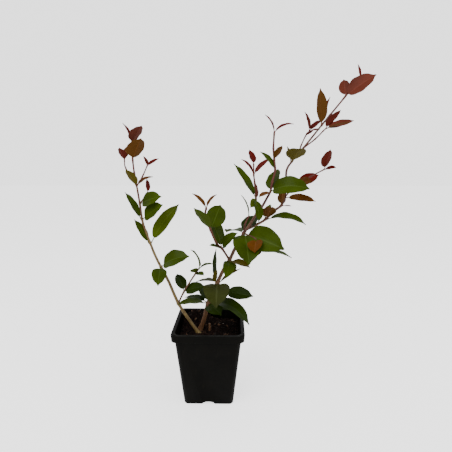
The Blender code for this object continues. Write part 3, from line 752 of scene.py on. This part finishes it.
def grow_sprig(sprig, curves, leaf_materials, twig_material, draw):
    """One mass of foliage: its twigs and its leaves."""
    curve = curves[sprig.limb]
    twigs = bmesh.new()
    twig_nodes = []
    for twig in sprig.twigs:
        origin = curve.at(sprig.node)[0] if twig.parent is None else twig_nodes[twig.parent][twig.node]
        nodes = [origin]
        for step in twig.steps:
            nodes.append(nodes[-1] + Vector(step) * MM)
        points = curve_through(nodes, TWIG_STEPS)
        count = len(points)
        radii = []
        for i in range(count):
            past_node = (i + TWIG_STEPS / 2) % TWIG_STEPS - TWIG_STEPS / 2
            swell = 1 + NODE_SWELL * math.exp(-(past_node ** 2))
            radii.append(twig.radius * MM * TWIG_FULLNESS * (1 - TWIG_TAPER * i / (count - 1)) * swell)
        tube(twigs, points, radii, TWIG_SIDES, relief=TWIG_RELIEF)
        twig_nodes.append(nodes)
    if sprig.twigs:
        stems = piece(sprig.name + "_twigs", twigs, [twig_material], BARK_SMOOTH)
        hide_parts(sprig.name)
    else:
        twigs.free()
    blades = bmesh.new()
    layer = blades.loops.layers.uv.new("blade")
    tints = sorted({leaf.tint for leaf in sprig.leaves})
    for leaf in sprig.leaves:
        if leaf.twig == RING:
            node = side_foot(leaf_frame(leaf)[0], curve, sprig.node)
        else:
            node = twig_nodes[leaf.twig][leaf.node]
        grow_leaf(blades, layer, leaf, node, tints, draw)
    bmesh.ops.recalc_face_normals(blades, faces=blades.faces)
    materials = [leaf_materials[tint] for tint in tints]
    foliage = piece(sprig.name + "_blades", blades, materials, LEAF_SMOOTH)
    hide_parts(sprig.name)


def grow_limb(limb, curves, material):
    """A stem's or bough's skin with the bark's relief; keeps its curve for what grows on it."""
    swells = [sprig.node for sprig in SPRIGS if sprig.limb == limb.name and sprig.node != LIMB_TIP]
    curve = LimbCurve(limb, swells)
    mesh = bmesh.new()
    tube(mesh, curve.points, curve.radii, LIMB_SIDES, level_foot=curve.rooted, relief=LIMB_RELIEF)
    bmesh.ops.recalc_face_normals(mesh, faces=mesh.faces)
    skin = piece(limb.name + "_bark", mesh, [material], BARK_SMOOTH)
    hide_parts(limb.name)
    curves[limb.name] = curve


def square_ring(half, radius, z):
    """A level ring of points: a square with round corners."""
    ring = []
    for corner in range(4):
        turn = corner * math.pi / 2
        for step in range(CORNER_STEPS + 1):
            angle = step / CORNER_STEPS * math.pi / 2
            across = half - radius + radius * math.cos(angle)
            along = half - radius + radius * math.sin(angle)
            ring.append(Vector((across * math.cos(turn) - along * math.sin(turn),
                                across * math.sin(turn) + along * math.cos(turn), z)))
    return ring


def body_half(z):
    """Half the pot's outer width at a height."""
    share = z / (POT_HEIGHT - RIM_DEPTH)
    return BODY_HALF_FOOT + (BODY_HALF_TOP - BODY_HALF_FOOT) * share


def cut(base, cutters):
    """Cuts the cutters from a mesh object and removes them."""
    group = bpy.data.collections.new("cutters")
    for cutter in cutters:
        group.objects.link(cutter)
    boolean = base.modifiers.new("cut", "BOOLEAN")
    boolean.operation = "DIFFERENCE"
    boolean.operand_type = "COLLECTION"
    boolean.collection = group
    bpy.context.view_layer.update()
    graph = bpy.context.evaluated_depsgraph_get()
    cut_mesh = bpy.data.meshes.new_from_object(base.evaluated_get(graph))
    base.modifiers.remove(boolean)
    base.data = cut_mesh
    for cutter in cutters:
        bpy.data.objects.remove(cutter)
    bpy.data.collections.remove(group)


def notch_cutter(side):
    """A low arch at the middle of one foot edge."""
    turn = side * math.pi / 2
    rings = []
    for reach in (BODY_HALF_FOOT + WALL, BODY_HALF_FOOT - NOTCH_DEPTH):
        ring = []
        for step in range(17):
            angle = math.pi * step / 16
            ring.append((reach, -NOTCH_WIDTH / 2 * math.cos(angle), NOTCH_HEIGHT * math.sin(angle)))
        ring += [(reach, NOTCH_WIDTH / 2, -WALL), (reach, -NOTCH_WIDTH / 2, -WALL)]
        rings.append([Vector((x * math.cos(turn) - y * math.sin(turn),
                              x * math.sin(turn) + y * math.cos(turn), z)) for x, y, z in ring])
    mesh = bmesh.new()
    loft(mesh, rings)
    bmesh.ops.recalc_face_normals(mesh, faces=mesh.faces)
    data = bpy.data.meshes.new("cutter")
    mesh.to_mesh(data)
    mesh.free()
    return bpy.data.objects.new("cutter", data)


def mould_pot():
    """The pot's wall, floor, turned-out rim and drain notches."""
    band_foot = POT_HEIGHT - RIM_DEPTH
    lip_under = POT_HEIGHT - WALL
    skirt = RIM_HALF - WALL
    soft = POT_BEVEL
    profile = (
        (body_half(0) - FOOT_CHAMFER, 0), (body_half(0) - FOOT_CHAMFER * 0.3, FOOT_CHAMFER * 0.3),
        (body_half(FOOT_CHAMFER), FOOT_CHAMFER), (body_half(lip_under), lip_under), (skirt, lip_under),
        (skirt - RIM_DRAFT, band_foot), (RIM_HALF - RIM_DRAFT - soft, band_foot),
        (RIM_HALF - RIM_DRAFT, band_foot + soft), (RIM_HALF, lip_under),
        (RIM_HALF - soft * 0.4, POT_HEIGHT - soft),
        (RIM_HALF - soft * 1.4, POT_HEIGHT), (body_half(POT_HEIGHT) - WALL + soft, POT_HEIGHT),
        (body_half(POT_HEIGHT) - WALL, POT_HEIGHT - soft), (body_half(FLOOR) - WALL, FLOOR),
    )
    mesh = bmesh.new()
    loft(mesh, [square_ring(half, CORNER_RADIUS * half / RIM_HALF, z) for half, z in profile])
    bmesh.ops.recalc_face_normals(mesh, faces=mesh.faces)
    pot = piece("pot_wall", mesh, [plastic_material()])
    cut(pot, [notch_cutter(side) for side in range(4)])
    mesh = bmesh.new()
    mesh.from_mesh(pot.data)
    for face in mesh.faces:
        face.smooth = True
        face.material_index = 0
    for edge in mesh.edges:
        edge.smooth = len(edge.link_faces) == 2 and edge.calc_face_angle(0) < POT_SMOOTH
    mesh.to_mesh(pot.data)
    mesh.free()
    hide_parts("pot")


def soil_height(x, y):
    """The soil's surface: heaped at the back, crumbly all over."""
    rise = sum(peak * math.exp(-((x - cx) ** 2 + (y - cy) ** 2) / width**2) for cx, cy, width, peak in HEAPS)
    spot = Vector((x, y, 0))
    crumbs = noise.noise(spot * 300) + 0.6 * noise.noise(spot * 800) + 0.35 * noise.noise(spot * 1900)
    return SOIL_LEVEL - GAP + rise * 0.97 + SOIL_GRAIN * crumbs


def lay_soil(draw):
    """The root ball, with its crumbly top."""
    half = body_half(SOIL_LEVEL) - WALL - 2 * GAP
    mesh = bmesh.new()
    bmesh.ops.create_grid(mesh, x_segments=SOIL_GRID, y_segments=SOIL_GRID, size=half)
    corner = CORNER_RADIUS
    for vert in mesh.verts:
        x, y = vert.co.x, vert.co.y
        over = Vector((max(abs(x) - half + corner, 0), max(abs(y) - half + corner, 0)))
        if over.length > corner:
            pull = over - over.normalized() * corner
            x -= math.copysign(pull.x, x)
            y -= math.copysign(pull.y, y)
        vert.co = (x, y, soil_height(x, y))
    top = list(mesh.faces)
    walls = bmesh.ops.extrude_face_region(mesh, geom=top)
    foot = body_half(FLOOR + GAP) - WALL - 3 * GAP
    lowered = [item for item in walls["geom"] if isinstance(item, bmesh.types.BMVert)]
    for vert in lowered:
        vert.co = (vert.co.x * foot / half, vert.co.y * foot / half, FLOOR + GAP)
    bmesh.ops.recalc_face_normals(mesh, faces=mesh.faces)
    soil = piece("soil_ball", mesh, [soil_material()], SOIL_SMOOTH)
    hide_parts("soil")
    scatter_litter(draw, half)


def any_way(draw):
    return Vector((draw.uniform(-1, 1), draw.uniform(-1, 1), draw.uniform(-1, 1)))


def scatter_litter(draw, half):
    """Chips, fibres and pale grains that lie on the soil."""
    litter = bmesh.new()
    for kind, count in ((0, CHIPS), (1, SPECKS)):
        for _ in range(count):
            x = draw.uniform(-half, half) * LITTER_REACH
            y = draw.uniform(-half, half) * LITTER_REACH
            size = draw.uniform(*(CHIP_SIZES if kind == 0 else GRAIN_SIZES))
            made = bmesh.ops.create_cube(litter, size=1.0)["verts"]
            turn = any_way(draw).normalized()
            turned = UP.rotation_difference((UP + turn * CHIP_TILT).normalized()).to_matrix()
            spin = draw.uniform(0, FULL_TURN)
            for vert in made:
                shaped = Vector(part * size * share for part, share in zip(vert.co, CHIP_SHAPE))
                shaped += any_way(draw) * size * CHIP_ROUGHNESS
                shaped = Vector((shaped.x * math.cos(spin) - shaped.y * math.sin(spin),
                                 shaped.x * math.sin(spin) + shaped.y * math.cos(spin), shaped.z))
                vert.co = turned @ shaped + Vector((x, y, soil_height(x, y) + size * CHIP_ROUGHNESS))
            index = 2 if kind else draw.choice((0, 0, 0, 1))
            for face in {face for vert in made for face in vert.link_faces}:
                face.material_index = index
    for _ in range(FIBRES):
        x = draw.uniform(-half, half) * FIBRE_START_REACH
        y = draw.uniform(-half, half) * FIBRE_START_REACH
        heading = draw.uniform(0, FULL_TURN)
        length = draw.uniform(*FIBRE_LENGTHS)
        bend = draw.uniform(-FIBRE_BEND, FIBRE_BEND)
        points = []
        for _ in range(FIBRE_POINTS):
            x += math.cos(heading) * length / (FIBRE_POINTS - 1)
            y += math.sin(heading) * length / (FIBRE_POINTS - 1)
            heading += bend / 2
            x = max(-half * FIBRE_REACH, min(half * FIBRE_REACH, x))
            y = max(-half * FIBRE_REACH, min(half * FIBRE_REACH, y))
            points.append(Vector((x, y, soil_height(x, y) + 0.0003 + 0.0005 * draw.random())))
        if (points[0] - points[-1]).length > length * 0.4:
            tube(litter, points, [FIBRE_RADIUS] * FIBRE_POINTS, 4, material=3)
    bmesh.ops.recalc_face_normals(litter, faces=litter.faces)
    scraps = piece("soil_litter", litter, [
        plain_material("chip_dark", (0.016, 0.0080, 0.0060), 0.9),
        plain_material("chip_tan", (0.140, 0.072, 0.040), 0.85),
        plain_material("grain_pale", (0.60, 0.55, 0.48), 0.8),
        plain_material("fibre", (0.040, 0.016, 0.011), 0.9),
    ])


def cut_stump(material):
    """The stump of an old shoot, cut off just above the soil."""
    foot = Vector((STUB_PLACE[0] * MM, STUB_PLACE[1] * MM, SOIL_LEVEL))
    steps = range(STUMP_STEPS + 1)
    points = [foot + UP * STUB_HEIGHT * step / STUMP_STEPS for step in steps]
    radii = [STUB_RADII[0] + (STUB_RADII[1] - STUB_RADII[0]) * step / STUMP_STEPS for step in steps]
    mesh = bmesh.new()
    tube(mesh, points, radii, LIMB_SIDES, relief=STUMP_RELIEF)
    bmesh.ops.recalc_face_normals(mesh, faces=mesh.faces)
    stump = piece("stub_bark", mesh, [material], BARK_SMOOTH)
    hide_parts("cut_stub")


def light(name, place, power):
    """A soft square lamp that shines on the plant."""
    lamp = bpy.data.lights.new(name, "AREA")
    lamp.size = LAMP_SIZE
    lamp.energy = power
    obj = bpy.data.objects.new(name, lamp)
    obj.location = place
    obj.rotation_euler = (Vector(LAMP_AIM) - Vector(place)).to_track_quat("-Z", "Y").to_euler()
    bpy.context.scene.collection.objects.link(obj)


def seen_white(tree, socket, strength, seen):
    """Gives a strength for lighting, and a bright white where it is looked at."""
    rays = tree.nodes.new("ShaderNodeLightPath")
    choose = tree.nodes.new("ShaderNodeMapRange")
    choose.inputs[3].default_value = strength
    choose.inputs[4].default_value = seen
    tree.links.new(rays.outputs["Is Camera Ray"], choose.inputs[0])
    tree.links.new(choose.outputs[0], socket)


def build_studio():
    """A white floor and soft light from all round, strongest from above and in front."""
    world = bpy.data.worlds.new("studio")
    world.use_nodes = True
    background = world.node_tree.nodes["Background"]
    background.inputs[0].default_value = (1, 1, 1, 1)
    seen_white(world.node_tree, background.inputs[1], WORLD_LIGHT, WHITE)
    bpy.context.scene.world = world
    mesh = bmesh.new()
    bmesh.ops.create_grid(mesh, x_segments=1, y_segments=1, size=FLOOR_SIZE)
    data = bpy.data.meshes.new("floor")
    mesh.to_mesh(data)
    mesh.free()
    floor = bpy.data.objects.new("floor", data)
    white = bpy.data.materials.new("floor_white")
    white.use_nodes = True
    surface = white.node_tree.nodes["Principled BSDF"]
    surface.inputs["Base Color"].default_value = (0.93, 0.93, 0.93, 1)
    surface.inputs["Roughness"].default_value = 0.9
    surface.inputs["Specular IOR Level"].default_value = 0.1
    surface.inputs["Emission Color"].default_value = (1, 1, 1, 1)
    seen_white(white.node_tree, surface.inputs["Emission Strength"], 0.0, FLOOR_WHITE)
    data.materials.append(white)
    bpy.context.scene.collection.objects.link(floor)
    light("key", KEY_PLACE, KEY_POWER)
    light("fill", FILL_PLACE, FILL_POWER)


def aim_camera():
    """The photograph's view, from figures fitted to the pot's corners and rounded."""
    data = bpy.data.cameras.new("view")
    data.lens = CAMERA_LENS
    data.sensor_width = SENSOR
    camera = bpy.data.objects.new("view", data)
    camera.location = CAMERA_PLACE
    camera.rotation_euler = (CAMERA_TILT, 0, CAMERA_TURN)
    bpy.context.scene.collection.objects.link(camera)
    bpy.context.scene.camera = camera


def main():
    draw = random.Random(SEED)
    build_studio()
    aim_camera()
    mould_pot()
    lay_soil(draw)
    left_bark = bark_material("bark_left", (0.20, 0.135, 0.040), (0.115, 0.030, 0.016), 0.205, 0.025)
    right_bark = bark_material("bark_right", (0.165, 0.075, 0.030), (0.100, 0.028, 0.016), 0.190, 0.040)
    twig_bark = bark_material("bark_twig", (0.120, 0.060, 0.022), (0.120, 0.022, 0.014), 0.180, 0.040)
    cut_stump(right_bark)
    curves = {}
    for limb in LIMBS:
        grow_limb(limb, curves, left_bark if limb.name == "stem_left" else right_bark)
    leaf_materials = {tint: leaf_material(tint) for tint in TINTS}
    for sprig in SPRIGS:
        grow_sprig(sprig, curves, leaf_materials, twig_bark, draw)


main()
